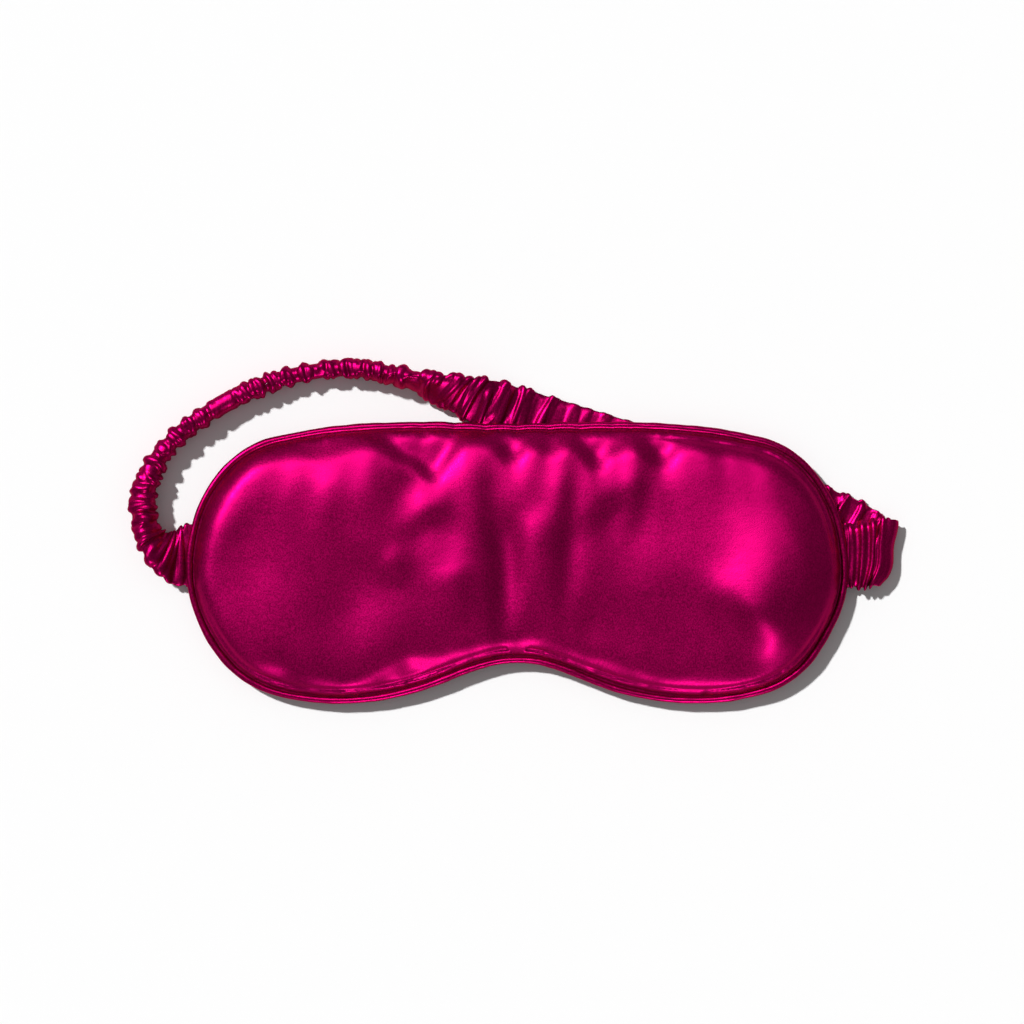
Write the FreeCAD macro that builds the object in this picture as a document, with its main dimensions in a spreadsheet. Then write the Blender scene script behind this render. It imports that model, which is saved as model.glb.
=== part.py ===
"""Sleep eye mask: a padded, piped satin mask on a gathered elastic head strap.

The mask lies face up on its flat back, with +Z up, +X towards the wearer's left strap
end and +Y towards the forehead.  The origin is on the back, in the middle of the mask.
All sizes are in millimetres.
"""
import FreeCAD, Part

import math
import os

from FreeCAD import Placement, Rotation, Vector

doc = FreeCAD.newDocument("sleep_eye_mask")

# ---------------------------------------------------------------- driving sizes

SIZES = [
    ("half_width", 105.6, "mask centre to side edge"),
    ("half_height", 44.6, "mask centre to top edge"),
    ("piping_radius", 1.1, "piping, outside"),
    ("filler_radius", 0.68, "cord inside the piping"),
    ("filler_gap", 0.04, "between the cord and its cover"),
    ("piping_level", 5.0, "height of the piping's centre"),
    ("flange_thick", 0.2, "sewn-in flange of the piping"),
    ("flange_inset", 9.0, "outline to the flange's inner edge"),
    ("seam_inset", 2.3, "outline to the panels' outer wall"),
    ("cloth", 0.4, "panel cloth"),
    ("ease", 0.05, "gap between layers"),
    ("front_base", 5.5, "height of the front panel's seam allowance"),
    ("front_height", 6.5, "front panel, seam to crown"),
    ("front_round", 6.0, "front panel's edge radius"),
    ("back_top", 4.6, "height of the back panel's seam allowance"),
    ("back_round", 4.0, "back panel's edge radius"),
    ("lining_base", 4.65, "height of the blackout lining"),
    ("lining_thick", 0.2, "blackout lining"),
    ("thread_radius", 0.15, "sewing thread"),
    ("thread_level", 5.3, "height of the perimeter seam"),
    ("thread_inset", 4.0, "outline to the perimeter seam"),
    ("channel_depth", 3.05, "dent that the strap lies in, under the mask"),
    ("hinge_y", 2.6, "middle of the sewn strap ends, along Y"),
    ("tail_base", 2.9, "underside of a sewn-in strap end"),
    ("tail_thick", 0.9, "sewn-in strap end"),
    ("tail_width", 20.0, "sewn-in strap end"),
    ("tail_inner", 96.0, "mask centre to a strap end's inner edge"),
    ("tail_outer", 105.75, "mask centre to where a strap end leaves the seam"),
    ("tack_length", 3.0, "one stitch of a bar tack"),
    ("tack_pitch", 1.9, "bar tack stitches, middle to middle"),
    ("elastic_width", 5.5, "elastic tape"),
    ("elastic_thick", 0.7, "elastic tape"),
    ("elastic_ease", 0.2, "gap round the elastic inside its casing"),
]

sheet = doc.addObject("Spreadsheet::Sheet", "Sizes")
for row, (alias, value, meaning) in enumerate(SIZES, start=1):
    sheet.set("A%d" % row, meaning)
    sheet.set("B%d" % row, str(value))
    sheet.setAlias("B%d" % row, alias)
doc.recompute()


def size(alias):
    return float(sheet.get(alias))


def bind(feature, name, formula):
    """Ties a property to the sheet, each word in braces being an alias."""
    feature.setExpression(name, formula.replace("{", "Sizes.").replace("}", ""))


# ---------------------------------------------------------------- outline

# The right half from the middle of the top edge, clockwise to the top of the nose
# arch: share of half_width, share of half_height, and heading in degrees.
OUTLINE = [
    (0.000, 1.000, 0),
    (0.568, 0.978, -7),
    (0.871, 0.731, -44),
    (1.000, -0.043, -90),
    (0.896, -0.684, -128),
    (0.549, -1.002, -180),
    (0.341, -0.942, -193),
    (0.166, -0.800, -202.5),
    (0.000, -0.709, -180),
]


def heading(degrees):
    a = math.radians(degrees)
    return Vector(math.cos(a), math.sin(a), 0)


def arc_centre(point, tangent, other):
    """Centre of the arc that leaves point along tangent and passes through other."""
    normal = Vector(-tangent.y, tangent.x, 0)
    chord = other - point
    return point + normal * (chord.dot(chord) / (2 * normal.dot(chord)))


def biarc(start, start_dir, end, end_dir):
    """The two tangent arcs that join two headed points, as (centre, from, to)."""
    chord = end - start
    both = start_dir + end_dir
    spread = 2 * (1 - start_dir.dot(end_dir))
    if spread < 1e-9:
        reach = chord.dot(chord) / (4 * chord.dot(end_dir))
    else:
        along = chord.dot(both)
        reach = (math.sqrt(along**2 + spread * chord.dot(chord)) - along) / spread
    middle = (start + end + (start_dir - end_dir) * reach) * 0.5
    return [
        (arc_centre(start, start_dir, middle), start, middle),
        (arc_centre(end, end_dir, middle), middle, end),
    ]


def half_outline():
    nodes = [
        (Vector(x * size("half_width"), y * size("half_height"), 0), heading(a))
        for x, y, a in OUTLINE
    ]
    arcs = []
    for (start, start_dir), (end, end_dir) in zip(nodes, nodes[1:]):
        arcs += biarc(start, start_dir, end, end_dir)
    return arcs


def moved_in(centre, start, end, inset):
    """An arc's ends moved to the right of its travel, which is into the mask."""
    turn = (start - centre).cross(end - centre).z
    side = 1 if turn < 0 else -1

    def step(point):
        inward = (centre - point).normalize() * side
        return point + inward * inset

    return step(start), step(end)


def outline_arcs(inset, level=0.0):
    """The closed outline, inset by that much, as three-point arcs."""
    arcs = []
    up = Vector(0, 0, level)
    for centre, start, end in half_outline():
        a, b = moved_in(centre, start, end, inset)
        radius = (a - centre).Length
        middle = centre + ((a + b) * 0.5 - centre).normalize() * radius
        for mirror in (1, -1):
            arcs.append([Vector(p.x * mirror, p.y, 0) + up for p in (a, middle, b)])
    return arcs


def outline_wire(inset, level=0.0):
    edges = [Part.Arc(*points).toShape() for points in outline_arcs(inset, level)]
    return Part.Wire(Part.__sortEdges__(edges))


# ---------------------------------------------------------------- feature helpers


def flat_sketch(body, name, level):
    """A sketch parallel to the XY plane, at a height given by a formula."""
    sketch = body.newObject("Sketcher::SketchObject", name)
    plane = [o for o in body.Origin.OriginFeatures if o.Role == "XY_Plane"][0]
    sketch.AttachmentSupport = [(plane, "")]
    sketch.MapMode = "FlatFace"
    bind(sketch, "AttachmentOffset.Base.z", level)
    return sketch


def draw_outline(sketch, inset):
    for points in outline_arcs(inset):
        sketch.addGeometry(Part.Arc(*points), False)


def draw_polygon(sketch, corners):
    for a, b in zip(corners, corners[1:] + corners[:1]):
        sketch.addGeometry(Part.LineSegment(Vector(*a, 0), Vector(*b, 0)), False)


def pad(body, sketch, length, down=False):
    feature = body.newObject("PartDesign::Pad", sketch.Name + "_pad")
    feature.Profile = sketch
    bind(feature, "Length", length)
    feature.Reversed = down
    doc.recompute()
    return feature


def flat_faces_at(shape, level):
    found = []
    for number, face in enumerate(shape.Faces, start=1):
        box = face.BoundBox
        if abs(box.ZMin - level) < 1e-4 and abs(box.ZMax - level) < 1e-4:
            found.append("Face%d" % number)
    return found


def cushion(name, inset, base, height, rounding, down=False):
    """A slab of the mask's outline with its far edge rounded."""
    body = doc.addObject("PartDesign::Body", name)
    sketch = flat_sketch(body, name + "_outline", base)
    draw_outline(sketch, inset)
    slab = pad(body, sketch, height, down)
    box = slab.Shape.BoundBox
    far = flat_faces_at(slab.Shape, box.ZMin if down else box.ZMax)
    fillet = body.newObject("PartDesign::Fillet", name + "_round")
    fillet.Base = (slab, far)
    bind(fillet, "Radius", rounding)
    doc.recompute()
    return body


def ring(name, outer_inset, inner_inset, base, height):
    """A flat band that follows the outline, such as a seam allowance."""
    body = doc.addObject("PartDesign::Body", name)
    sketch = flat_sketch(body, name + "_outline", base)
    draw_outline(sketch, outer_inset)
    if inner_inset is not None:
        draw_outline(sketch, inner_inset)
    pad(body, sketch, height)
    return body


def combine(kind, name, base, tool):
    feature = doc.addObject(kind, name)
    feature.Base = base
    feature.Tool = tool
    doc.recompute()
    return feature


def box(name, x, y, z, length, width, height):
    feature = doc.addObject("Part::Box", name)
    for prop, formula in (("Length", length), ("Width", width), ("Height", height)):
        bind(feature, prop, formula)
    for axis, formula in (("x", x), ("y", y), ("z", z)):
        bind(feature, "Placement.Base." + axis, formula)
    return feature


# ---------------------------------------------------------------- padding and panels

SEAM = size("seam_inset")
CLOTH = size("cloth")
EASE = size("ease")
FLANGE = size("flange_inset")


def strap_channel(name, clearance, depth):
    """The dent across the back where the strap lies between mask and table."""
    corners = [
        (-24 - clearance, 50),
        (42, 50),
        (108, 26 + clearance),
        (108, -5 - clearance),
        (92 - clearance, -5 - clearance),
        (30 - clearance / 2, 21.5 - clearance),
        (-24 - clearance, 41 - clearance),
    ]
    body = doc.addObject("PartDesign::Body", name)
    sketch = flat_sketch(body, name + "_outline", "-1 mm")
    draw_polygon(sketch, corners)
    pad(body, sketch, depth + " + 1")
    return body


def tail_slot(name, side):
    """Room in the back for a sewn-in strap end and its bar tack."""
    start = "{tail_inner} - 4 * {ease}" if side > 0 else "-{tail_outer} - 2"
    return box(
        name,
        start,
        "{hinge_y} - {tail_width} / 2 - 4 * {ease}",
        "{tail_base} - 2 * {ease}",
        "{tail_outer} - {tail_inner} + 2 + 4 * {ease}",
        "{tail_width} + 8 * {ease}",
        "{back_top} - {cloth} - {ease} - {tail_base} + 2 * {ease}",
    )


def front_panel():
    outer = cushion("front_outer", SEAM, "{front_base}", "{front_height}", "{front_round}")
    inner = cushion(
        "front_inner",
        SEAM + CLOTH,
        "{front_base}",
        "{front_height} - {cloth}",
        "{front_round} - {cloth}",
    )
    shell = combine("Part::Cut", "front_shell", outer, inner)
    allowance = ring("front_allowance", SEAM + CLOTH / 2, FLANGE, "{front_base}", "{cloth}")
    return combine("Part::Fuse", "front_panel", shell, allowance)


def back_panel():
    outer = cushion("back_outer", SEAM, "{back_top}", "{back_top}", "{back_round}", True)
    dented = combine(
        "Part::Cut", "back_dented", outer, strap_channel("channel", 0, "{channel_depth}")
    )
    inner = cushion(
        "back_inner",
        SEAM + CLOTH,
        "{back_top}",
        "{back_top} - {cloth}",
        "{back_round} - {cloth}",
        True,
    )
    inner_dented = combine(
        "Part::Cut",
        "back_inner_dented",
        inner,
        strap_channel("channel_liner", CLOTH, "{channel_depth} + {cloth}"),
    )
    shell = combine("Part::Cut", "back_shell", dented, inner_dented)
    allowance = ring(
        "back_allowance", SEAM + CLOTH / 2, FLANGE, "{back_top} - {cloth}", "{cloth}"
    )
    whole = combine("Part::Fuse", "back_whole", shell, allowance)
    left = combine("Part::Cut", "back_left_open", whole, tail_slot("left_slot", -1))
    return combine("Part::Cut", "back_panel", left, tail_slot("right_slot", 1))


def front_wadding():
    return cushion(
        "front_wadding",
        SEAM + CLOTH + EASE,
        "{front_base} + {cloth} + {ease}",
        "{front_height} - 2 * {cloth} - 2 * {ease}",
        "{front_round} - {cloth} - {ease}",
    )


def back_wadding():
    base = "{back_top} - {cloth} - {ease}"
    slab = cushion(
        "back_slab",
        SEAM + CLOTH + EASE,
        base,
        base + " - {cloth} - {ease}",
        "{back_round} - {cloth} - {ease} - 0.1",
        True,
    )
    dented = combine(
        "Part::Cut",
        "back_slab_dented",
        slab,
        strap_channel(
            "channel_wadding", CLOTH + EASE, "{channel_depth} + {cloth} + {ease}"
        ),
    )
    left = combine("Part::Cut", "wadding_left_open", dented, tail_slot("left_room", -1))
    return combine("Part::Cut", "back_wadding", left, tail_slot("right_room", 1))


def blackout_lining():
    return ring("blackout_lining", SEAM + EASE, None, "{lining_base}", "{lining_thick}")


# ---------------------------------------------------------------- piping and thread


def round_loop(inset, radius, level):
    """A round cord laid all along the outline."""
    path = outline_wire(inset, level)
    start = path.OrderedVertexes[0].Point
    tangent = path.OrderedEdges[0].tangentAt(path.OrderedEdges[0].FirstParameter)
    profile = Part.Wire(Part.makeCircle(radius, start, tangent))
    return path.makePipeShell([profile], True, False)


def piping_cord():
    feature = doc.addObject("Part::Feature", "piping_cord")
    feature.Shape = round_loop(
        size("piping_radius"), size("filler_radius"), size("piping_level")
    )
    return feature


def piping_cover():
    tube = doc.addObject("Part::Feature", "piping_tube")
    tube.Shape = round_loop(
        size("piping_radius"), size("piping_radius"), size("piping_level")
    )
    bore = doc.addObject("Part::Feature", "piping_bore")
    bore.Shape = round_loop(
        size("piping_radius"),
        size("filler_radius") + size("filler_gap"),
        size("piping_level"),
    )
    flange = ring(
        "piping_flange",
        size("piping_radius"),
        FLANGE,
        "{piping_level} - {flange_thick} / 2",
        "{flange_thick}",
    )
    filled = combine("Part::Fuse", "piping_filled", tube, flange)
    return combine("Part::Cut", "piping_cover", filled, bore)


def perimeter_thread():
    feature = doc.addObject("Part::Feature", "perimeter_thread")
    feature.Shape = round_loop(
        size("thread_inset"), size("thread_radius"), size("thread_level")
    )
    return feature


# ---------------------------------------------------------------- strap


def strap_tail(name, side):
    """The end of the strap that is caught in the side seam."""
    start = "{tail_inner}" if side > 0 else "-{tail_outer}"
    return box(
        name,
        start,
        "{hinge_y} - {tail_width} / 2",
        "{tail_base}",
        "{tail_outer} - {tail_inner}",
        "{tail_width}",
        "{tail_thick}",
    )


def bar_tack(name, side):
    """Nine stitches side by side across a strap end."""
    stitches = []
    count = 9
    reach = size("tack_length") / 2
    middle = side * (size("tail_inner") + size("tail_outer") - 2) / 2
    level = size("tail_base") + size("tail_thick") + size("thread_radius") + EASE / 2
    for number in range(count):
        y = size("hinge_y") + (number - (count - 1) / 2) * size("tack_pitch")
        start = Vector(middle - reach, y, level)
        stitches.append(
            Part.makeCylinder(
                size("thread_radius"), size("tack_length"), start, Vector(1, 0, 0)
            )
        )
    feature = doc.addObject("Part::Feature", name)
    feature.Shape = Part.makeCompound(stitches)
    return feature


# The strap's route from the left seam round the loop, under the mask, over its fold
# and back to the right seam: x, y, z, width, thickness, the width's bearing in plan
# (None: to the left of the travel) and how far its outer edge is tipped up.
ROUTE = [
    (-105.95, 2.6, 3.35, 20.0, 1.8, 270, 0),
    (-108.5, 2.7, 3.5, 19.0, 2.6, 262, 4),
    (-112.0, 3.6, 4.8, 16.0, 4.4, 245, 18),
    (-115.8, 6.8, 6.3, 12.0, 5.4, 220, 40),
    (-118.6, 12.6, 5.8, 9.5, 6.0, None, 60),
    (-119.6, 19.5, 5.1, 8.2, 6.0, None, 70),
    (-117.6, 27.5, 4.85, 7.8, 6.0, None, 72),
    (-113.0, 35.5, 4.75, 7.6, 6.0, None, 72),
    (-106.0, 42.5, 4.65, 7.6, 6.0, None, 75),
    (-97.0, 49.0, 4.7, 7.8, 5.8, None, 76),
    (-87.0, 54.3, 4.3, 7.5, 5.8, None, 82),
    (-76.5, 58.6, 4.05, 7.4, 5.8, None, 87),
    (-65.5, 61.2, 3.95, 7.4, 5.8, None, 89),
    (-54.5, 62.3, 4.2, 7.8, 5.8, None, 88),
    (-43.5, 61.1, 5.4, 9.4, 5.6, None, 80),
    (-33.0, 58.3, 6.6, 11.5, 5.2, None, 66),
    (-22.5, 55.2, 6.6, 14.0, 4.6, None, 42),
    (-12.0, 51.8, 4.2, 16.5, 3.0, None, 18),
    (-1.0, 47.9, 1.9, 18.2, 2.2, None, 3),
    (18.0, 41.6, 1.4, 19.0, 2.2, None, 0),
    (38.0, 35.5, 1.4, 19.0, 2.2, None, 0),
    (60.0, 29.3, 1.4, 18.5, 2.2, None, 0),
    (82.0, 23.0, 1.3, 17.0, 2.1, None, 0),
    (98.0, 17.3, 1.15, 15.0, 2.0, None, 0),
    (107.0, 13.3, 1.15, 15.4, 2.0, 68, 0),
    (112.3, 8.2, 1.15, 19.0, 2.0, 70, 0),
    (115.9, 4.4, 1.15, 20.6, 2.0, 73, 0),
    (117.4, 3.6, 1.45, 21.0, 2.0, 73, 0),
    (118.2, 3.3, 2.3, 21.0, 2.0, 73, 0),
    (118.5, 3.25, 3.4, 21.0, 2.0, 73, 0),
    (118.2, 3.3, 4.5, 21.0, 2.0, 73, 0),
    (117.4, 3.5, 5.35, 21.0, 2.0, 74, 0),
    (115.9, 3.6, 5.65, 20.8, 2.0, 76, 0),
    (111.5, 3.0, 4.9, 20.4, 1.9, 84, 0),
    (105.95, 2.6, 3.35, 20.0, 1.8, 90, 0),
]


def route_frames():
    """Each station's centre with its unit width and thickness directions."""
    points = [Vector(*station[:3]) for station in ROUTE]
    frames = []
    for i, station in enumerate(ROUTE):
        ahead = points[min(i + 1, len(points) - 1)]
        behind = points[max(i - 1, 0)]
        travel = (ahead - behind).normalize()
        if i in (0, len(ROUTE) - 1):
            travel = Vector(-1, 0, 0)
        bearing, tip = station[5:]
        if bearing is None:
            across = Vector(-travel.y, travel.x, 0).normalize()
        else:
            across = heading(bearing)
        flat_out = travel.cross(across).normalize()
        lean = math.radians(tip)
        outward = across * math.cos(lean) + flat_out * math.sin(lean)
        out = flat_out * math.cos(lean) - across * math.sin(lean)
        frames.append((points[i], outward, out))
    return frames


def strap_section(centre, across, out, width, thick):
    """The eight corners of a band section with its edges cut."""
    bevel = min(width, thick) * 0.3
    w, t = width / 2, thick / 2
    corners = [
        (w - bevel, t),
        (bevel - w, t),
        (-w, t - bevel),
        (-w, bevel - t),
        (bevel - w, -t),
        (w - bevel, -t),
        (w, bevel - t),
        (w, t - bevel),
    ]
    return [centre + across * a + out * b for a, b in corners]


def sections(sizes):
    """A band section at each station, from its (width, thickness)."""
    return [
        strap_section(*frame, width, thick)
        for frame, (width, thick) in zip(route_frames(), sizes)
    ]


def skin(rows):
    """The ruled faces that join each section to the next, corner to corner."""
    faces = []
    for here, there in zip(rows, rows[1:]):
        for i in range(len(here)):
            near = Part.makeLine(here[i - 1], here[i])
            far = Part.makeLine(there[i - 1], there[i])
            faces.append(Part.makeRuledSurface(near, far))
    return faces


def end_face(corners):
    return Part.Face(Part.makePolygon(corners + corners[:1]))


def closed_solid(faces):
    shell = Part.Shell(faces)
    shell.sewShape()
    solid = Part.Solid(shell)
    if solid.Volume < 0:
        solid.reverse()
    return solid


def strap_casing():
    outer = sections([station[3:5] for station in ROUTE])
    ease = 2 * size("elastic_ease")
    room = (size("elastic_width") + ease, size("elastic_thick") + ease)
    inner = sections([room] * len(ROUTE))
    ends = [end_face(outer[end]).cut(end_face(inner[end])).Faces[0] for end in (0, -1)]
    feature = doc.addObject("Part::Feature", "strap_casing")
    feature.Shape = closed_solid(skin(outer) + skin(inner) + ends)
    return feature


def strap_elastic():
    tape = (size("elastic_width"), size("elastic_thick"))
    rows = sections([tape] * len(ROUTE))
    ends = [end_face(rows[end]) for end in (0, -1)]
    feature = doc.addObject("Part::Feature", "strap_elastic")
    feature.Shape = closed_solid(skin(rows) + ends)
    return feature


# ---------------------------------------------------------------- build and write


def build():
    return {
        "front_panel": front_panel(),
        "front_wadding": front_wadding(),
        "blackout_lining": blackout_lining(),
        "back_wadding": back_wadding(),
        "back_panel": back_panel(),
        "piping_cover": piping_cover(),
        "piping_cord": piping_cord(),
        "perimeter_thread": perimeter_thread(),
        "left_strap_tail": strap_tail("left_strap_tail", -1),
        "right_strap_tail": strap_tail("right_strap_tail", 1),
        "left_bar_tack": bar_tack("left_bar_tack", -1),
        "right_bar_tack": bar_tack("right_bar_tack", 1),
        "strap_casing": strap_casing(),
        "strap_elastic": strap_elastic(),
    }


def check(parts):
    for feature in doc.Objects:
        if "Invalid" in feature.State or "Error" in feature.State:
            raise RuntimeError("%s failed: %s" % (feature.Name, feature.State))
    for label, feature in parts.items():
        shape = feature.Shape
        if shape.isNull() or not shape.isValid() or shape.Volume <= 0:
            raise RuntimeError("%s has no valid solid" % label)


def write(parts):
    os.makedirs("parts", exist_ok=True)
    for label, feature in parts.items():
        feature.Label = label
        feature.Shape.exportStep(os.path.join("parts", label + ".step"))
        print(label, len(feature.Shape.Solids), round(feature.Shape.Volume, 1))


parts = build()
doc.recompute()
check(parts)
write(parts)
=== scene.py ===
"""Sleep eye mask: puckered satin cushions, a piped edge and a gathered head strap.

Lengths in this file are in millimetres until a mesh is made.
"""

import math
import random

import bpy
import numpy as np
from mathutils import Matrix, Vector
from mathutils.geometry import delaunay_2d_cdt


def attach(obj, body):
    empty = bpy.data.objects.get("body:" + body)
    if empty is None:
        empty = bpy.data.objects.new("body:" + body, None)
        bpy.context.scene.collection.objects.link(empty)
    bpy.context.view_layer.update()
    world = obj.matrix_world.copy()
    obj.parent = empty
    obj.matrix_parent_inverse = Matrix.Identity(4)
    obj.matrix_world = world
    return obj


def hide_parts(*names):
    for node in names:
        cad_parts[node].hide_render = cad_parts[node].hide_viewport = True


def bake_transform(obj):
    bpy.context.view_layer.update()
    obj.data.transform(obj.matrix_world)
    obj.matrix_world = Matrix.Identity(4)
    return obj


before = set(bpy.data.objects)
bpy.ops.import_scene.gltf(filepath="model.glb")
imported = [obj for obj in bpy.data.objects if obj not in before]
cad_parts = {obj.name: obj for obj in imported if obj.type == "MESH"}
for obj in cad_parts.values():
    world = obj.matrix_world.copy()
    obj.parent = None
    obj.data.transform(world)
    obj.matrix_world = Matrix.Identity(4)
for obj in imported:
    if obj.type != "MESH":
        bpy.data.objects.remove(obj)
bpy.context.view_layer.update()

MM = 0.001
# height of the seam round the mask, and the least gap that the back keeps to the table
SEAM_LEVEL = 5.0
TABLE_GAP = 0.05
# how far each filling's edge stands back from the seam
FILLING_INSET = 4.0


# ---------------------------------------------------------------- small helpers


def smooth(x, low, high):
    """0 below low, 1 above high and a smooth rise between."""
    t = np.clip((x - low) / (high - low), 0, 1)
    return t * t * (3 - 2 * t)


def mesh_piece(name, points, faces, material):
    """A smooth-shaded mesh object from points in millimetres."""
    mesh = bpy.data.meshes.new(name)
    mesh.from_pydata((np.asarray(points) * MM).tolist(), [], faces)
    mesh.update()
    mesh.shade_smooth()
    mesh.materials.append(material)
    piece = bpy.data.objects.new(name, mesh)
    bpy.context.scene.collection.objects.link(piece)
    return piece


def apply_modifiers(piece):
    """The piece's mesh replaced by what its modifiers make of it."""
    graph = bpy.context.evaluated_depsgraph_get()
    mesh = bpy.data.meshes.new_from_object(piece.evaluated_get(graph))
    piece.modifiers.clear()
    piece.data = mesh


def coordinates(mesh):
    """A mesh's vertices, in metres."""
    flat = np.empty(len(mesh.vertices) * 3)
    mesh.vertices.foreach_get("co", flat)
    return flat.reshape(-1, 3)


def set_coordinates(mesh, points):
    mesh.vertices.foreach_set("co", np.asarray(points, float).ravel())
    mesh.update()


def value_noise(x, y, scale, seed):
    """Smooth noise from -1 to 1 over a plane, as a sum of seeded waves."""
    draw = np.random.default_rng(seed)
    total = np.zeros_like(x)
    waves = 14
    for _ in range(waves):
        turn = draw.uniform(0, math.tau)
        stretch = draw.uniform(0.6, 1.6)
        phase = draw.uniform(0, math.tau)
        along = x * math.cos(turn) + y * math.sin(turn)
        total += np.sin(along * math.tau / (scale * stretch) + phase)
    return total / math.sqrt(waves)


# ---------------------------------------------------------------- materials


class Nodes:
    """A material's node tree, built one node at a time."""

    def __init__(self, name):
        self.material = bpy.data.materials.new(name)
        self.material.use_nodes = True
        self.tree = self.material.node_tree
        self.shader = self.tree.nodes["Principled BSDF"]

    def add(self, kind, values=(), **settings):
        node = self.tree.nodes.new("ShaderNode" + kind)
        for key, value in settings.items():
            setattr(node, key, value)
        for socket, value in dict(values).items():
            node.inputs[socket].default_value = value
        return node

    def link(self, source, target):
        self.tree.links.new(source, target)

    def noise(self, scale, detail=2.0, stretch=(1, 1, 1), rough=0.5):
        place = self.add("TexCoord")
        mapping = self.add("Mapping", {"Scale": stretch})
        grain = self.add("TexNoise", {"Scale": scale, "Detail": detail, "Roughness": rough})
        self.link(place.outputs["Object"], mapping.inputs["Vector"])
        self.link(mapping.outputs["Vector"], grain.inputs["Vector"])
        return grain.outputs["Fac"]

    def ramp(self, source, stops):
        ramp = self.add("ValToRGB")
        elements = ramp.color_ramp.elements
        for i, (position, colour) in enumerate(stops):
            element = elements[i] if i < 2 else elements.new(position)
            element.position = position
            element.color = (*colour, 1)
        self.link(source, ramp.inputs["Fac"])
        return ramp.outputs["Color"]

    def span(self, source, low, high):
        """source's 0.3 to 0.7 spread over low to high."""
        node = self.add(
            "MapRange", {"From Min": 0.3, "From Max": 0.7, "To Min": low, "To Max": high}
        )
        self.link(source, node.inputs["Value"])
        return node.outputs["Result"]

    def bump(self, height, distance, strength=1.0, under=None):
        node = self.add("Bump", {"Distance": distance, "Strength": strength})
        self.link(height, node.inputs["Height"])
        if under is not None:
            self.link(under, node.inputs["Normal"])
        return node.outputs["Normal"]


def satin(name, dark, light, roughness, grain=1.0):
    """Glossy woven satin whose shine takes the colour of its threads."""
    n = Nodes(name)
    cloud = n.ramp(n.noise(45, 3), [(0.3, dark), (0.7, light)])
    floats = n.noise(2400, 2, (1.0, 0.75, 1.0))
    speckle = n.ramp(floats, [(0.32, (0.68, 0.68, 0.68)), (0.68, (1.0, 1.0, 1.0))])
    thread_tone = n.add("Mix", {"Factor": 1.0}, data_type="RGBA", blend_type="MULTIPLY")
    n.link(cloud, thread_tone.inputs[6])
    n.link(speckle, thread_tone.inputs[7])
    n.link(thread_tone.outputs[2], n.shader.inputs["Base Color"])
    slubs = n.noise(700, 2, (0.5, 1.0, 1.0))
    n.link(n.span(floats, roughness - 0.06, roughness + 0.08), n.shader.inputs["Roughness"])
    creases = n.bump(n.noise(60, 3, (1.0, 1.4, 1.0), 0.5), 0.0008, 0.22 * grain)
    threads = n.bump(floats, 0.00006, 0.5 * grain, creases)
    n.link(n.bump(slubs, 0.00007, 0.25 * grain, threads), n.shader.inputs["Normal"])
    n.shader.inputs["Metallic"].default_value = 0.93
    n.shader.inputs["Specular IOR Level"].default_value = 0.2
    n.shader.inputs["Specular Tint"].default_value = (1.0, 0.05, 0.4, 1)
    n.shader.inputs["Sheen Weight"].default_value = 0.02
    n.shader.inputs["Sheen Roughness"].default_value = 0.4
    n.shader.inputs["Sheen Tint"].default_value = (1.0, 0.25, 0.55, 1)
    return n.material


def matt_cloth(name, dark, light, scale, roughness=0.95):
    """Plain matt cloth or fibre with a fine nap."""
    n = Nodes(name)
    nap = n.noise(scale, 4)
    n.link(n.ramp(nap, [(0.3, dark), (0.7, light)]), n.shader.inputs["Base Color"])
    n.link(n.bump(nap, 0.0003, 0.6), n.shader.inputs["Normal"])
    n.shader.inputs["Roughness"].default_value = roughness
    return n.material


def ribbed(name, dark, light, pitch, turn, roughness=0.7):
    """Thread, cord or tape with a repeated rib."""
    n = Nodes(name)
    place = n.add("TexCoord")
    mapping = n.add("Mapping", {"Rotation": (0, 0, turn)})
    n.link(place.outputs["Object"], mapping.inputs["Vector"])
    wave = n.add("TexWave", {"Scale": 1 / pitch, "Distortion": 1.2, "Detail": 2})
    n.link(mapping.outputs["Vector"], wave.inputs["Vector"])
    n.link(n.ramp(wave.outputs["Fac"], [(0, dark), (1, light)]), n.shader.inputs["Base Color"])
    n.link(n.bump(wave.outputs["Fac"], 0.0002, 0.7), n.shader.inputs["Normal"])
    n.shader.inputs["Roughness"].default_value = roughness
    return n.material


SATIN = satin("satin_magenta", (0.27, 0.0006, 0.064), (0.36, 0.001, 0.083), 0.42)
PIPING = satin("piping_magenta", (0.26, 0.0006, 0.056), (0.34, 0.001, 0.074), 0.34)
STRAP = satin("strap_magenta", (0.24, 0.0006, 0.054), (0.32, 0.001, 0.070), 0.36)
WADDING = matt_cloth("wadding_fibre", (0.70, 0.70, 0.68), (0.88, 0.88, 0.86), 900)
LINING = matt_cloth("blackout_cloth", (0.008, 0.008, 0.009), (0.02, 0.02, 0.022), 1600, 0.8)
CORD = ribbed("cotton_cord", (0.55, 0.52, 0.45), (0.80, 0.77, 0.70), 0.004, 0.7, 0.9)
ELASTIC = ribbed("elastic_tape", (0.68, 0.68, 0.66), (0.86, 0.86, 0.84), 0.003, 0.0)
THREAD = ribbed("magenta_thread", (0.16, 0.0006, 0.04), (0.30, 0.002, 0.08), 0.002, 0.9, 0.5)

NODE_MATERIALS = {
    "blackout_lining": LINING,
    "piping_cord": CORD,
    "perimeter_thread": THREAD,
    "left_bar_tack": THREAD,
    "right_bar_tack": THREAD,
    "left_strap_tail": STRAP,
    "right_strap_tail": STRAP,
}
for node_name, material in NODE_MATERIALS.items():
    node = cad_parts[node_name]
    for material_slot in node.material_slots:
        material_slot.material = material


# ---------------------------------------------------------------- the outline


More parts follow.
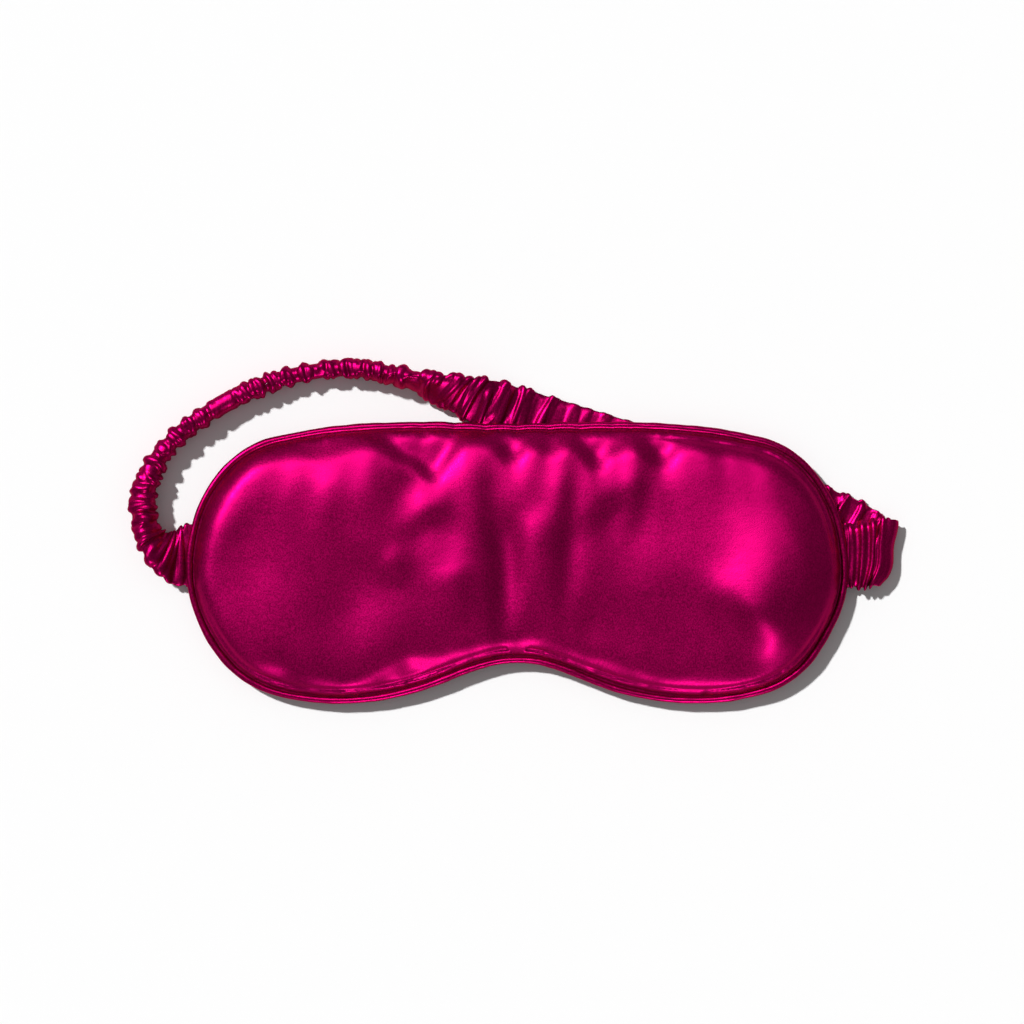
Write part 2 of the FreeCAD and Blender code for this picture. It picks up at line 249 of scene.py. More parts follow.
def seam_line(count):
    """The edge of the CAD lining, as points evenly spaced anticlockwise."""
    raw = coordinates(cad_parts["blackout_lining"].data)[:, :2] / MM
    angle = np.arctan2(raw[:, 1], raw[:, 0])
    bins = 360
    which = ((angle + math.pi) / math.tau * bins).astype(int) % bins
    filled = [k for k in range(bins) if (which == k).any()]
    middle = np.array([raw[which == k].mean(axis=0) for k in filled])
    around = np.unwrap(np.arctan2(middle[:, 1], middle[:, 0]))
    reach = np.hypot(middle[:, 0], middle[:, 1])
    fine = np.linspace(0, math.tau, 4000, endpoint=False) - math.pi
    radius = np.interp(fine, around, reach, period=math.tau)
    width = 9
    wrapped = np.concatenate([radius[-width:], radius, radius[:width]])
    kernel = np.hanning(2 * width + 1)
    radius = np.convolve(wrapped, kernel / kernel.sum(), "valid")
    loop = np.stack([radius * np.cos(fine), radius * np.sin(fine)], axis=1)
    steps = np.linalg.norm(np.roll(loop, -1, axis=0) - loop, axis=1)
    travelled = np.concatenate([[0], np.cumsum(steps)])
    closed = np.vstack([loop, loop[:1]])
    even = np.linspace(0, travelled[-1], count, endpoint=False)
    return np.stack([np.interp(even, travelled, closed[:, k]) for k in (0, 1)], axis=1)


def outward(loop):
    """The outward direction at each point of an anticlockwise loop."""
    along = np.roll(loop, -1, axis=0) - np.roll(loop, 1, axis=0)
    along /= np.linalg.norm(along, axis=1)[:, None]
    return np.stack([along[:, 1], -along[:, 0]], axis=1)


# the panels' edge lies this far outside the lining's
PANEL_OVER = 0.15
LOOP_COUNT = 900
LOOP = seam_line(LOOP_COUNT)
LOOP_OUT = outward(LOOP)
LOOP = LOOP + LOOP_OUT * PANEL_OVER


def edge_distance(points):
    """Each point's distance from the panels' edge, and the nearest edge point's number."""
    distance = np.empty(len(points))
    nearest = np.empty(len(points), int)
    at_once = 2000
    for first in range(0, len(points), at_once):
        part = slice(first, first + at_once)
        block = points[part, None, :] - LOOP[None, :, :]
        square = (block**2).sum(axis=2)
        nearest[part] = square.argmin(axis=1)
        distance[part] = np.sqrt(square.min(axis=1))
    return distance, nearest


# ---------------------------------------------------------------- cushions


# x, how far the seam pulls the shoulder in there, and over what half-width
TOP_PULLS = [
    (-62, 2.5, 10),
    (-37, 5.0, 5),
    (-28, 13.0, 6),
    (-2.5, 6.5, 4.5),
    (10.5, 4.0, 3.2),
    (24.5, 9.0, 4.5),
    (32, 2.5, 2.6),
    (45, 8.0, 5.0),
    (64, 1.5, 6),
    (84, 2.0, 12),
]
LOW_PULLS = [(-75, 2.2, 7), (-35, 4.5, 9), (-55, -1.0, 6), (8, 1.0, 4), (30, 1.5, 8), (75, -1, 8)]
# x0, y0, x1, y1, half-width and height of each soft ridge or (below 0) hollow
SWELLS = [
    (-62, 22, -40, 20, 9, 0.9),
    (-33, 31, -38, 15, 5, -1.9),
    (-30, 38, -29, 29, 3.5, -1.8),
    (72, -19, 98, 12, 22, 5.2),
    (30, 18, 44, 0, 12, -1.5),
    (-3, 14, -5, -24, 6, -1.4),
    (-20, -2, -14, -22, 8, 0.9),
    (6, 14, 12, -16, 6, 1.1),
    (-46, 0, -60, -28, 13, -2.0),
    (-28, 14, -20, 2, 7, -1.7),
    (-92, 6, -74, -8, 12, -1.2),
    (-42, 1, -36, -4, 6, 0.9),
    (20, -18, 48, -26, 9, -1.0),
    (14, 26, 13, 8, 2.6, 0.5),
    (37, 26, 35, 8, 2.6, 0.8),
]


def pulled_depth(points, depth):
    """How far each point is inside the seam, less what the seam's puckers pull in."""
    x, y = points[:, 0], points[:, 1]
    result = depth.copy()
    for pulls, side in ((TOP_PULLS, 1), (LOW_PULLS, -1)):
        reach = smooth(side * y, 2, 12)
        for middle, pull, width in pulls:
            aside = np.abs((x - middle - 0.08 * depth) / width)
            result -= pull * np.exp(-(aside**1.6)) * reach
    return result


def fold_height(points, folds):
    """The laid-out folds, each a soft ridge along a line that fades at its ends."""
    total = np.zeros(len(points))
    for x0, y0, x1, y1, width, height in folds:
        start, run = np.array([x0, y0]), np.array([x1 - x0, y1 - y0])
        length = np.linalg.norm(run)
        along = ((points - start) @ run) / length**2
        wander = 0.12 * length * value_noise(points[:, 0], points[:, 1], 40, int(x0 + 200))
        aside = np.abs((points - start) @ np.array([-run[1], run[0]]) / length + wander * 0.3)
        fade = smooth(along, -0.2, 0.15) * (1 - smooth(along, 0.25, 1.3))
        total += height * np.exp(-((aside / width) ** 2)) * fade
    return total


def panel_points(spacing, rim_count, seed):
    """Points and triangles that fill the panels' edge evenly, and how many are on the rim."""
    draw = np.random.default_rng(seed)
    step = len(LOOP) // rim_count
    rim = LOOP[::step]
    low, high = LOOP.min(axis=0), LOOP.max(axis=0)
    rows = np.arange(low[1], high[1], spacing * math.sqrt(3) / 2)
    grid = np.array(
        [
            (x + (k % 2) * spacing / 2, y)
            for k, y in enumerate(rows)
            for x in np.arange(low[0], high[0], spacing)
        ]
    )
    grid += draw.uniform(-0.12, 0.12, grid.shape) * spacing
    distance, nearest = edge_distance(grid)
    inside = ((LOOP[nearest] - grid) * LOOP_OUT[nearest]).sum(axis=1) > 0
    grid = grid[inside & (distance > spacing * 0.7)]
    corners = np.vstack([rim, grid])
    boundary = [list(range(len(rim)))]
    found = delaunay_2d_cdt([Vector(p) for p in corners], [], boundary, 1, 1e-6)
    points = np.array([tuple(p) for p in found[0]])
    return points, [list(face) for face in found[2]], len(rim)


def inflate(points, faces, rim_count, growth, pressure, frames):
    """The panel blown up as cloth that is cut larger than its sewn edge."""
    # the cloth is simulated at this many times its size
    grow = 10
    lift = value_noise(points[:, 0], points[:, 1], 30, 5) * 0.4
    lift += fold_height(points, SWELLS)
    start = np.column_stack([points, lift])
    start[:rim_count, 2] = 0
    piece = mesh_piece("cushion_cloth", start * grow, faces, SATIN)
    pins = piece.vertex_groups.new(name="sewn")
    pins.add(list(range(rim_count)), 1.0, "REPLACE")
    cloth = piece.modifiers.new("Cloth", "CLOTH")
    settings = cloth.settings
    settings.quality = 7
    settings.mass = 0.25
    settings.tension_stiffness = 12
    settings.compression_stiffness = 12
    settings.shear_stiffness = 6
    settings.bending_stiffness = 0.6
    settings.tension_damping = 8
    settings.shear_damping = 8
    settings.air_damping = 3
    settings.shrink_min = -growth
    settings.vertex_group_mass = "sewn"
    settings.use_pressure = True
    settings.uniform_pressure_force = pressure
    settings.effector_weights.gravity = 0
    cloth.point_cache.frame_start = 1
    cloth.point_cache.frame_end = frames
    scene = bpy.context.scene
    for number in range(1, frames + 1):
        scene.frame_set(number)
    apply_modifiers(piece)
    blown = coordinates(piece.data) / MM / grow
    bpy.data.objects.remove(piece)
    scene.frame_set(1)
    return blown


POINTS, FACES, RIM = panel_points(spacing=1.7, rim_count=300, seed=11)
BLOWN = inflate(POINTS, FACES, RIM, growth=0.026, pressure=5.0, frames=26)


def closed_form(upper, lower, rim_count):
    """Points and faces of a pad with two skins that meet at the rim."""
    inner = np.arange(rim_count, len(upper))
    under = np.concatenate([np.arange(rim_count), inner + len(upper) - rim_count])
    points = np.vstack([upper, lower[rim_count:]])
    points[:rim_count] = (upper[:rim_count] + lower[:rim_count]) / 2
    faces = [list(face) for face in FACES]
    faces += [[int(under[k]) for k in reversed(face)] for face in FACES]
    return points, faces


def relaxed(values, passes, amount):
    """values evened out between neighbouring points, by amount at each point."""
    pairs = {tuple(sorted((face[i - 1], face[i]))) for face in FACES for i in range(len(face))}
    a, b = np.array(sorted(pairs)).T
    count = np.bincount(a, minlength=len(values)) + np.bincount(b, minlength=len(values))
    count = count.reshape((-1,) + (1,) * (values.ndim - 1))
    result = values.copy()
    for _ in range(passes):
        total = np.zeros_like(result)
        np.add.at(total, a, result[b])
        np.add.at(total, b, result[a])
        result += amount * (total / count - result)
    return result


# PLAIN keeps the cloth's wrinkles; what the long smoothing takes off it is WRINKLES
DEPTH, NEAREST = edge_distance(POINTS)
SOFTEN = (smooth(DEPTH, 0, 5) * 0.8)[:, None]
PLAIN = relaxed(BLOWN, 4, SOFTEN)
BLOWN = relaxed(PLAIN, 30, SOFTEN)
WRINKLES = PLAIN[:, 2] - BLOWN[:, 2]
INWARD = -LOOP_OUT[NEAREST] * (1 - smooth(DEPTH, 0, 12))[:, None]


def shrunk(points, amount):
    """points moved in from the seam by amount near the rim."""
    moved = points.copy()
    moved[:, :2] += INWARD * amount
    return moved


def subdivide(piece, levels):
    """The piece smoothed by Catmull-Clark subdivision."""
    modifier = piece.modifiers.new("Subdivision", "SUBSURF")
    modifier.levels = modifier.render_levels = levels
    modifier.subdivision_type = "CATMULL_CLARK"
    apply_modifiers(piece)
    piece.data.shade_smooth()


# ---------------------------------------------------------------- strap route

# x, y, z, width, thickness, bearing of the width (None: left of travel), lean in degrees
ROUTE = [
    (-102.6, 2.6, 3.4, 19.6, 0.9, 270, 0),
    (-105.95, 2.6, 3.35, 20.0, 1.8, 270, 0),
    (-108.5, 2.7, 3.5, 19.0, 2.6, 262, 4),
    (-112.0, 3.6, 4.8, 16.0, 4.4, 245, 18),
    (-115.8, 6.8, 6.3, 12.0, 5.4, 220, 40),
    (-118.4, 12.6, 5.9, 9.8, 7.4, None, 60),
    (-119.3, 19.5, 5.4, 8.8, 8.4, None, 70),
    (-117.4, 27.5, 5.0, 8.0, 7.2, None, 72),
    (-113.0, 35.5, 4.75, 7.6, 6.0, None, 72),
    (-106.0, 42.5, 4.65, 7.6, 6.0, None, 75),
    (-97.0, 49.0, 4.7, 7.8, 5.8, None, 76),
    (-87.0, 54.3, 4.3, 7.5, 5.8, None, 82),
    (-76.5, 58.6, 4.05, 7.4, 5.8, None, 87),
    (-65.5, 61.2, 3.95, 7.4, 5.8, None, 89),
    (-54.5, 62.3, 4.2, 7.8, 5.8, None, 88),
    (-43.5, 61.1, 5.4, 9.4, 5.6, None, 80),
    (-33.0, 58.3, 6.6, 11.5, 5.2, None, 66),
    (-22.5, 55.2, 6.6, 14.0, 4.6, None, 42),
    (-12.0, 51.8, 4.2, 16.5, 3.0, None, 18),
    (-1.0, 47.9, 1.9, 18.2, 2.2, None, 3),
    (18.0, 41.6, 1.4, 19.0, 2.2, None, 0),
    (38.0, 35.5, 1.4, 19.0, 2.2, None, 0),
    (60.0, 29.3, 1.4, 18.5, 2.2, None, 0),
    (82.0, 23.0, 1.3, 17.0, 2.1, None, 0),
    (98.0, 17.3, 1.15, 15.0, 2.0, None, 0),
    (107.0, 13.3, 1.15, 15.4, 2.0, 68, 0),
    (112.3, 8.2, 1.15, 19.0, 2.0, 70, 0),
    (115.9, 4.4, 1.15, 20.6, 2.0, 73, 0),
    (117.4, 3.6, 1.45, 21.0, 2.0, 73, 0),
    (118.2, 3.3, 2.3, 21.0, 2.0, 73, 0),
    (118.5, 3.25, 3.4, 21.0, 2.0, 73, 0),
    (118.2, 3.3, 4.5, 21.0, 2.0, 73, 0),
    (117.4, 3.5, 5.35, 21.0, 2.0, 74, 0),
    (115.9, 3.6, 5.65, 20.8, 2.0, 76, 0),
    (111.5, 3.0, 4.9, 20.4, 1.9, 84, 0),
    (105.95, 2.6, 3.35, 20.0, 1.8, 90, 0),
    (102.6, 2.6, 3.4, 19.6, 0.9, 90, 0),
]


def unit(vectors):
    """vectors scaled to length one."""
    return vectors / np.linalg.norm(vectors, axis=-1, keepdims=True)


def strap_frames(step):
    """Smooth centres, width directions, thickness directions and sizes along the strap."""
    table = np.array([row[:5] for row in ROUTE])
    centre = table[:, :3]
    travel = np.gradient(centre, axis=0)
    travel[0] = travel[-1] = (-1, 0, 0)
    travel = unit(travel)
    across = np.column_stack([-travel[:, 1], travel[:, 0], np.zeros(len(table))])
    for k, row in enumerate(ROUTE):
        if row[5] is not None:
            turn = math.radians(row[5])
            across[k] = (math.cos(turn), math.sin(turn), 0)
    across = unit(across)
    flat_out = unit(np.cross(travel, across))
    lean = np.radians([row[6] for row in ROUTE])[:, None]
    width_way = across * np.cos(lean) + flat_out * np.sin(lean)
    known = np.column_stack([centre, width_way, table[:, 3:5]])
    gaps = np.linalg.norm(np.diff(centre, axis=0), axis=1)
    at = np.concatenate([[0], np.cumsum(gaps)])
    slope = np.gradient(known, at, axis=0)
    slope[:, :3] = np.where(
        np.arange(len(at))[:, None] % (len(at) - 1) == 0, (-1, 0, 0), slope[:, :3]
    )
    fine = np.arange(0, at[-1], step)
    k = np.clip(np.searchsorted(at, fine, "right") - 1, 0, len(at) - 2)
    h = (at[k + 1] - at[k])[:, None]
    t = (fine - at[k])[:, None] / h
    t2, t3 = t * t, t * t * t
    value = (
        (2 * t3 - 3 * t2 + 1) * known[k]
        + (t3 - 2 * t2 + t) * h * slope[k]
        + (3 * t2 - 2 * t3) * known[k + 1]
        + (t3 - t2) * h * slope[k + 1]
    )
    middle = value[:, :3]
    middle[:, 2] = np.interp(fine, at, centre[:, 2])
    side = unit(value[:, 3:6])
    out = unit(np.cross(np.gradient(middle, axis=0), side))
    return fine, middle, side, out, value[:, 6], value[:, 7]


STRAP_STEP = 0.4
AT, MIDDLE, SIDE, OUT, WIDTH, THICK = strap_frames(STRAP_STEP)
# where the strap lies beneath the mask or within 2 mm of its edge, short of the side seams
UNDER_NEAREST = edge_distance(MIDDLE[:, :2])[1]
UNDER_SIDE = ((LOOP[UNDER_NEAREST] - MIDDLE[:, :2]) * LOOP_OUT[UNDER_NEAREST]).sum(axis=1)
UNDER_MASK = (UNDER_SIDE > -2) & (MIDDLE[:, 2] < 3.4) & (np.abs(MIDDLE[:, 0]) < 95)
# the gathers beneath the mask are pressed flat at this height, and the back is lifted to
# DENT_HEIGHT over the strap, fading between the two distances from the strap's edge
PRESSED_LEVEL = 2.7
DENT_HEIGHT = 3.7
DENT_FADE = (1.2, 8.0)


# ---------------------------------------------------------------- cushion pieces


def strap_dent(points):
    """How high the strap beneath lifts the mask's back at each point."""
    route = MIDDLE[UNDER_MASK][::4, :2]
    reach = WIDTH[UNDER_MASK][::4] / 2
    gap = np.linalg.norm(points[:, None, :] - route[None], axis=2) - reach
    return DENT_HEIGHT * (1 - smooth(gap.min(axis=1), *DENT_FADE))


# the front's heights over the seam: its steep shoulder, the least a pucker leaves of it,
# and the slow rise behind it
SHOULDER = 4.7
PUCKER_FLOOR = 0.5
GLIDE = 1.5


def plateau(points, depth):
    """The padded front's height over the seam: a steep shoulder, then a soft plateau."""
    x, y = points[:, 0], points[:, 1]
    inner = pulled_depth(points, depth)
    spread = 3.1 + 0.5 * smooth(-x, 25, 55) * smooth(y, -10, 15)
    pinched = 1 - np.exp(-(((np.clip(inner, 0, None) + 1) ** 2 - 1) / spread**2))
    valley = PUCKER_FLOOR * (1 - np.exp(-((depth + 1) ** 2 - 1) / 2.5**2))
    shoulder = SHOULDER * np.maximum(pinched, valley)
    glide = GLIDE * (1 - np.exp(-np.clip(inner - 3, 0, None) / 6.5))
    crown = 0.12 * np.clip(BLOWN[:, 2], 0, None) + fold_height(points, SWELLS)
    height = shoulder + glide + crown * smooth(inner, 2, 14) + WRINKLES * 1.2
    return relaxed(np.clip(height, 0.02 * depth, None), 2, SOFTEN[:, 0])


rise = plateau(BLOWN[:, :2], DEPTH)
front_top = np.column_stack([BLOWN[:, :2], SEAM_LEVEL + 0.3 + rise])
front_base = np.column_stack([POINTS, np.full(len(POINTS), SEAM_LEVEL - 0.05)])
front = mesh_piece("front_cushion", *closed_form(front_top, front_base, RIM), SATIN)
subdivide(front, 2)


# height, distance inside the edge and half-width of the seam allowance's roll and groove
ROLL = (0.35, 1.3, 0.7)
GROOVE = (-0.55, 2.7, 0.65)
# the small nick in the lower right edge
NICK = (60, -41.5)


def seam_rolls(piece):
    """The narrow roll and groove that the seam allowance raises beside the piping."""
    points = coordinates(piece.data) / MM
    rows = np.where(points[:, 2] > SEAM_LEVEL + 0.2)[0]
    rows = rows[np.abs(points[rows, 0]) + np.abs(points[rows, 1]) > 30]
    depth = edge_distance(points[rows, :2])[0]
    x, y = points[rows, 0], points[rows, 1]
    low = smooth(-y, 8, 26)
    right = smooth(x, 30, 70) * smooth(y, -10, 15) * 0.8
    strength = np.clip(low + right, 0, 1) * (1 + 0.35 * value_noise(x, y, 26, 41))
    roll, groove = [
        height * np.exp(-(((depth - at) / width) ** 2)) for height, at, width in (ROLL, GROOVE)
    ]
    points[rows, 2] += strength * (roll + groove)
    away = np.hypot(x - NICK[0], (y - NICK[1]) * 1.4)
    points[rows, 2] -= 0.9 * np.exp(-((away / 1.3) ** 2))
    set_coordinates(piece.data, points * MM)


seam_rolls(front)

filled_top = shrunk(front_top, FILLING_INSET)
filled_top[:, 2] = SEAM_LEVEL + 0.1 + 0.4 * rise
filled_base = shrunk(front_base + (0, 0, 0.1), FILLING_INSET)
front_fill = mesh_piece("front_filling", *closed_form(filled_top, filled_base, RIM), WADDING)

drop = 4.6 * (1 - np.exp(-np.clip(BLOWN[:, 2], 0, None) / 2.4))
low = np.maximum(SEAM_LEVEL - 0.3 - drop, strap_dent(BLOWN[:, :2]))
back_low = np.column_stack([BLOWN[:, :2], np.maximum(low, TABLE_GAP)])
back_roof = np.column_stack([POINTS, np.full(len(POINTS), SEAM_LEVEL - 0.4)])
back_low[:, 2] = np.minimum(back_low[:, 2], back_roof[:, 2])
back = mesh_piece("back_cushion", *closed_form(back_roof, back_low, RIM), SATIN)
subdivide(back, 1)

fill_low = shrunk(back_low + (0, 0, 0.6), FILLING_INSET)
fill_roof = shrunk(back_roof - (0, 0, 0.1), FILLING_INSET)
fill_low[:, 2] = np.minimum(fill_low[:, 2], fill_roof[:, 2])
back_fill = mesh_piece("back_filling", *closed_form(fill_roof, fill_low, RIM), WADDING)

for piece, node_name, slot_name in (
    (front, "front_panel", "satin"),
    (front_fill, "front_wadding", "wadding"),
    (back, "back_panel", "satin"),
    (back_fill, "back_wadding", "wadding"),
):
    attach(piece, "mask")
    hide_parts(node_name)


# ---------------------------------------------------------------- piping


# the piping's centre, measured out from the panels' edge, and its radius before the swell
PIPING_OUT = 1.25 - PANEL_OVER
PIPING_RADIUS = 1.14


def piping(count, sides):
    """The bias-cut tube round the seam, pinched a little at uneven intervals."""
    loop = seam_line(count)
    normal = outward(loop)
    loop = loop + normal * PANEL_OVER
    along = np.arange(count) * np.linalg.norm(loop[1] - loop[0])
    swell = value_noise(along, along * 0, 9, 21) + value_noise(along, along * 0, 31, 22)
    swell = np.clip(0.05 * swell, -0.06, 0.12)
    weave = np.clip(value_noise(along, along * 0, 24, 23) * 0.1, -0.12, 0.12)
    turn = np.arange(sides) / sides * math.tau
    radius = PIPING_RADIUS * (1 + swell)[:, None]
    reach = PIPING_OUT + weave[:, None] + radius * np.cos(turn)[None]
    level = SEAM_LEVEL + radius * np.sin(turn)[None]
    xy = loop[:, None, :] + normal[:, None, :] * reach[:, :, None]
    points = np.concatenate([xy, level[:, :, None]], axis=2).reshape(-1, 3)
    faces = []
    for i in range(count):
        for j in range(sides):
            here, there = i * sides, (i + 1) % count * sides
            k = (j + 1) % sides
            faces.append([here + j, there + j, there + k, here + k])
    return points, faces


# the flange's height over the seam, and its edges measured out from the lining's edge
FLANGE_RISE = 0.12
FLANGE_EDGES = (PIPING_OUT + PANEL_OVER - 0.5, -3.5)


def flange(count):
    """The piping's flat seam allowance, which shows at the bottom of the groove."""
    loop = seam_line(count)
    normal = outward(loop)
    edges = [
        np.column_stack([loop + normal * reach, np.full(count, SEAM_LEVEL + FLANGE_RISE)])
        for reach in FLANGE_EDGES
    ]
    faces = [[i, (i + 1) % count, count + (i + 1) % count, count + i] for i in range(count)]
    return np.vstack(edges), faces


tube = mesh_piece("edge_piping", *piping(count=1400, sides=14), PIPING)
allowance = mesh_piece("piping_flange", *flange(LOOP_COUNT), PIPING)
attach(allowance, "mask")
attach(tube, "mask")
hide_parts("piping_cover")


# ---------------------------------------------------------------- strap casing


# x, spread and height of the gathers on the strap's upper layer at the right seam
TOP_LAYER_FOLDS = [
    (106.8, 0.95, 1.25),
    (109.7, 1.0, 1.2),
    (112.5, 0.9, 1.3),
    (114.9, 0.8, 1.5),
]


# pitch, spread, height and reach round the strap of the gathers: elsewhere, on the wide
# stretch by the mask's top edge, beneath the fold at the right, and at the left root
USUAL_GATHERS = (5.0, 1.15, 1.1, 2.5)
WIDE_GATHERS = (8.4, 1.5, 1.3, 2.6)
RIGHT_GATHERS = (6.5, 1.2, 1.2, 2.6)
LEFT_GATHERS = (5.6, 1.1, 1.2, 2.7)


def strap_folds():
    """Uneven gathers: where each crosses the strap, its slant, spread, height and reach."""
    draw = random.Random(7)
    folds = []
    for course in range(3):
        at = 0.5 + 2.3 * course
        while at < AT[-1]:
            k = min(int(at / STRAP_STEP), len(AT) - 1)
            x, y, z = MIDDLE[k]
            pitch, spread, height, reach = USUAL_GATHERS
            slant = draw.uniform(-0.9, 0.9)
            if -40 < x < 45 and y > 36:
                pitch, spread, height, reach = WIDE_GATHERS
                slant = draw.uniform(-0.5, 3.0)
            if x > 104 and z > 3.4:
                at += 1.0
                continue
            if x > 100 and z < 3.4:
                pitch, spread, height, reach = RIGHT_GATHERS
            if x < -104 and y < 9:
                pitch, spread, height, reach = LEFT_GATHERS
            folds.append(
                (
                    at,
                    slant,
                    spread * draw.uniform(0.8, 1.2),
                    height * draw.uniform(0.65, 1.15),
                    draw.uniform(0, math.tau),
                    math.cos(reach * draw.uniform(0.6, 1.3)),
                )
            )
            at += pitch * draw.uniform(0.72, 1.28)
    for line, spread, height in TOP_LAYER_FOLDS:
        k = np.where((MIDDLE[:, 0] > line) & (MIDDLE[:, 2] > 3.4))[0].max()
        folds.append((AT[k], 0.25, spread, height, math.pi / 2, -1))
    return folds


def gathers(turn):
    """Height of the gathers at each step along the strap and each angle round it."""
    total = np.zeros((len(AT), len(turn)))
    lean = np.cos(turn)[None]
    for where, slant, spread, height, middle, limit in strap_folds():
        margin = abs(slant) + 2 * spread
        first = np.searchsorted(AT, where - margin)
        last = np.searchsorted(AT, where + margin)
        bend = 0.5 * np.sin(turn * 2 + middle)[None]
        aside = (AT[first:last, None] - where - slant * lean - bend) / spread
        facing = np.cos(turn - middle)[None]
        lobe = np.clip(1 - aside**2, 0, 1) ** 0.7
        lobe = lobe * height * smooth(facing, limit - 0.35, limit + 0.25)
        total[first:last] = np.maximum(total[first:last], lobe)
    return total


# how far the upper layer at the right is widened on each side, how far the fold's lower
# corner is pushed out, and the least height of the cloth over the table
LAYER_EXTRA = 0.9
CORNER_BULGE = 1.9
CLOTH_GAP = 0.08


def strap_points(sides):
    """The casing's outer surface: a ring of points at each step along the strap."""
    turn = (np.arange(sides) + 0.5) / sides * math.tau
    wide = (np.sign(np.cos(turn)) * np.abs(np.cos(turn)) ** 0.8)[None]
    deep = (np.sign(np.sin(turn)) * np.abs(np.sin(turn)) ** 0.85)[None]
    amount = smooth(np.hypot(MIDDLE[:, 0] + 93, MIDDLE[:, 1] - 51), 2.0, 5.5) * 0.9 + 0.1
    amount[UNDER_MASK] *= 0.3
    amount[(MIDDLE[:, 0] > 115.5) & (MIDDLE[:, 2] > 1.6)] *= 0.2
    kernel = np.hanning(9)
    amount = np.convolve(np.pad(amount, 4, "edge"), kernel / kernel.sum(), "valid")[:, None]
    plump = smooth(THICK, 2.0, 5.0)[:, None]
    ripple = value_noise(AT, AT * 0, 3.2, 51)[:, None] * np.cos(turn * 2 + AT[:, None] / 9)
    ridge = (gathers(turn) - 0.2 - 0.35 * plump + 0.14 * ripple) * amount
    edge = smooth(np.abs(wide), 0.8, 1.0)
    sway = [value_noise(AT, AT * 0, 7.0, 31 + k)[:, None] * amount for k in (0, 1)]
    sway = np.where(wide > 0, sway[0], sway[1]) * edge * 0.6 * (1 - 0.5 * plump)
    slim = 0.45 + 0.42 * plump
    layered = smooth(MIDDLE[:, 0], 106, 110) * smooth(MIDDLE[:, 2], 2.5, 4)
    half_wide = (WIDTH / 2 - 0.35 + LAYER_EXTRA * layered)[:, None]
    half_deep = THICK[:, None] / 2 * slim + 0.45
    a = wide * (half_wide + ridge * 0.9)
    b = deep * half_deep + np.sign(deep) * ridge * np.abs(deep) ** 0.6 + sway
    points = MIDDLE[:, None] + SIDE[:, None] * a[:, :, None] + OUT[:, None] * b[:, :, None]
    points[:, :, 2] = np.maximum(points[:, :, 2], CLOTH_GAP)
    x, y = points[:, :, 0], points[:, :, 1]
    corner = smooth(-y, -7, 2) * (1 - 0.7 * smooth(-y, 3.6, 7.4))
    points[:, :, 0] += CORNER_BULGE * smooth(x, 109, 117.5) * corner
    lid = UNDER_MASK[:, None] & (points[:, :, 2] > PRESSED_LEVEL)
    points[:, :, 2] = np.where(lid, PRESSED_LEVEL, points[:, :, 2])
    return points


def tube_faces(rings, sides):
    """The side faces of an open tube whose points come ring by ring."""
    faces = []
    for i in range(rings - 1):
        for j in range(sides):
            here, there = i * sides, (i + 1) * sides
            k = (j + 1) % sides
            faces.append([here + j, here + k, there + k, there + j])
    return faces


STRAP_SIDES = 52
CLOTH_WALL = 0.25
RINGS = strap_points(STRAP_SIDES)


def casing_piece(name, first, last):
    """The casing from one ring to another, with the thickness of its cloth."""
    rings = RINGS[first : last + 1]
    piece = mesh_piece(name, rings.reshape(-1, 3), tube_faces(len(rings), STRAP_SIDES), STRAP)
    wall = piece.modifiers.new("Cloth", "SOLIDIFY")
    wall.thickness = CLOTH_WALL * MM
    wall.offset = -1
    apply_modifiers(piece)
    piece.data.shade_smooth()
    return piece


# the rings where the twisting roots end and the swinging strap begins
LEFT_JOIN = int(16.4 / STRAP_STEP)
RIGHT_JOIN = len(AT) - 1 - int(11.4 / STRAP_STEP)
casing = casing_piece("strap_gathers", LEFT_JOIN, RIGHT_JOIN)
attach(casing, "strap")
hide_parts("strap_casing")
left_root = casing_piece("strap_root_left", 0, LEFT_JOIN)
right_root = casing_piece("strap_root_right", RIGHT_JOIN, len(AT) - 1)


# the elastic tape's section
TAPE_WIDTH, TAPE_THICK = 5.5, 0.7


def tape_piece(name, first, last):
    """The elastic tape inside the casing, from one ring to another."""
    corners = [(1, 1), (-1, 1), (-1, -1), (1, -1)]
    part = slice(first, last + 1)
    rings = np.stack(
        [
            MIDDLE[part] + SIDE[part] * a * TAPE_WIDTH / 2 + OUT[part] * b * TAPE_THICK / 2
            for a, b in corners
        ],
        axis=1,
    )
    count = len(rings)
    ends = [[3, 2, 1, 0], [count * 4 - 4 + j for j in range(4)]]
    piece = mesh_piece(name, rings.reshape(-1, 3), tube_faces(count, 4) + ends, ELASTIC)
    piece.data.shade_flat()
    return piece


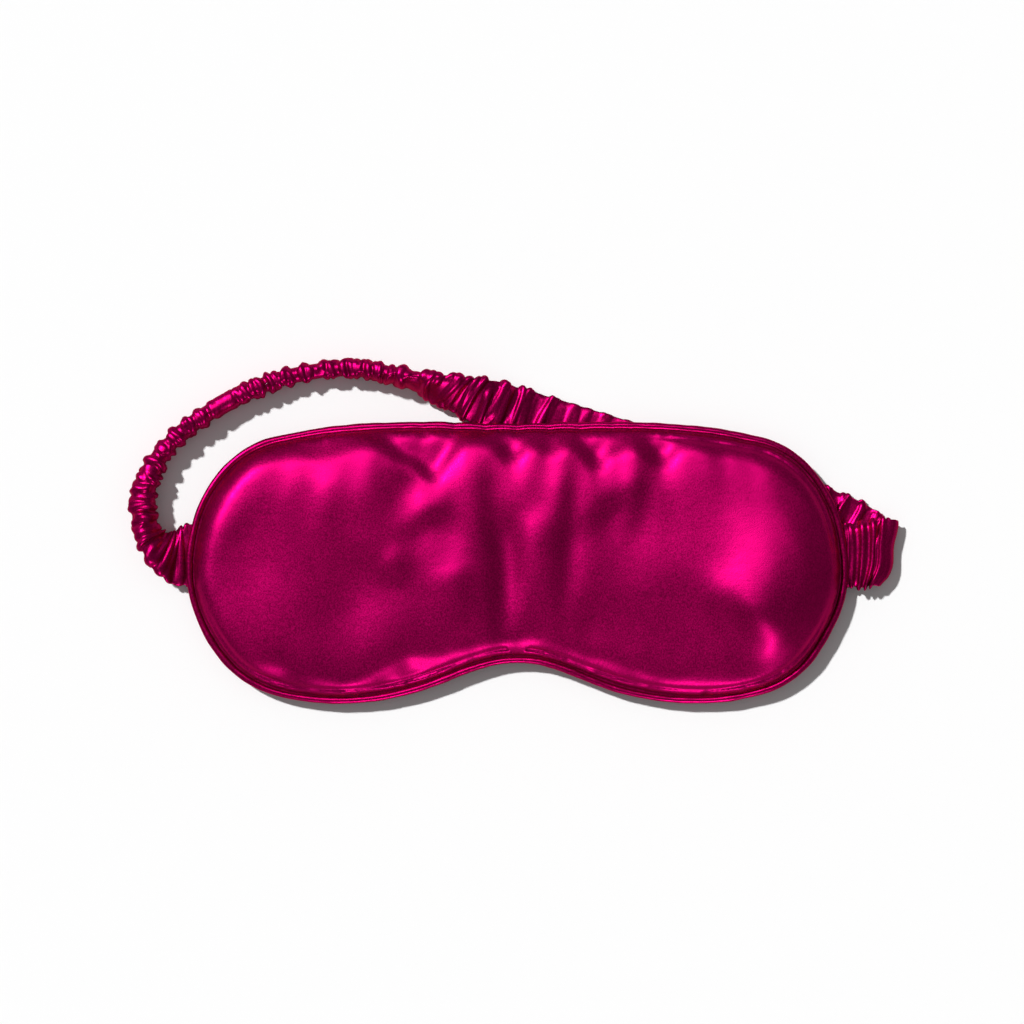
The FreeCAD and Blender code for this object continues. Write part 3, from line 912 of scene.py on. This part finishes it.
tape = tape_piece("strap_tape", LEFT_JOIN, RIGHT_JOIN)
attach(tape, "strap")
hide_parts("strap_elastic")
left_tape = tape_piece("strap_tape_left", 0, LEFT_JOIN)
right_tape = tape_piece("strap_tape_right", RIGHT_JOIN, len(AT) - 1)

for side, ring, twisted in (
    (-1, LEFT_JOIN, (left_root, left_tape)),
    (1, RIGHT_JOIN, (right_root, right_tape)),
):
    for piece in twisted:
        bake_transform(piece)


# ---------------------------------------------------------------- stage

bpy.ops.mesh.primitive_plane_add(size=80, location=(0, 0, -0.0001))
floor = bpy.context.object
floor.name = "floor"
white = Nodes("white_table")
white.shader.inputs["Base Color"].default_value = (0.86, 0.86, 0.86, 1)
white.shader.inputs["Roughness"].default_value = 0.9
floor.data.materials.append(white.material)

camera_data = bpy.data.cameras.new("camera")
camera_data.lens = 100
camera_data.sensor_width = 36
camera = bpy.data.objects.new("camera", camera_data)
camera.location = (-0.0016, 0.0165, 0.912)
bpy.context.scene.collection.objects.link(camera)
bpy.context.scene.camera = camera


def sun_light(name, travel, angle, strength, shadow):
    """A sun whose light travels along travel, with its angle in degrees."""
    data = bpy.data.lights.new(name, "SUN")
    data.energy = strength
    data.angle = math.radians(angle)
    data.use_shadow = shadow
    light = bpy.data.objects.new(name, data)
    light.rotation_euler = Vector(travel).to_track_quat("-Z", "Y").to_euler()
    bpy.context.scene.collection.objects.link(light)
    return light


sun_light("key_light", (0.76, -0.63, -1.06), 3.5, 3.95, True)
# two lights that show only as reflections
for name, travel, angle, strength in (
    ("front_light", (-0.12, 1.4, -0.75), 8, 1.7),
    ("rear_light", (0.1, -0.78, -1.3), 8, 1.15),
):
    sheen_light = sun_light(name, travel, angle, strength, False)
    sheen_light.visible_diffuse = False

world = bpy.data.worlds.new("studio")
world.use_nodes = True
world.node_tree.nodes["Background"].inputs["Color"].default_value = (1, 1, 1, 1)
world.node_tree.nodes["Background"].inputs["Strength"].default_value = 0.22
bpy.context.scene.world = world
bpy.context.scene.view_settings.view_transform = "Standard"
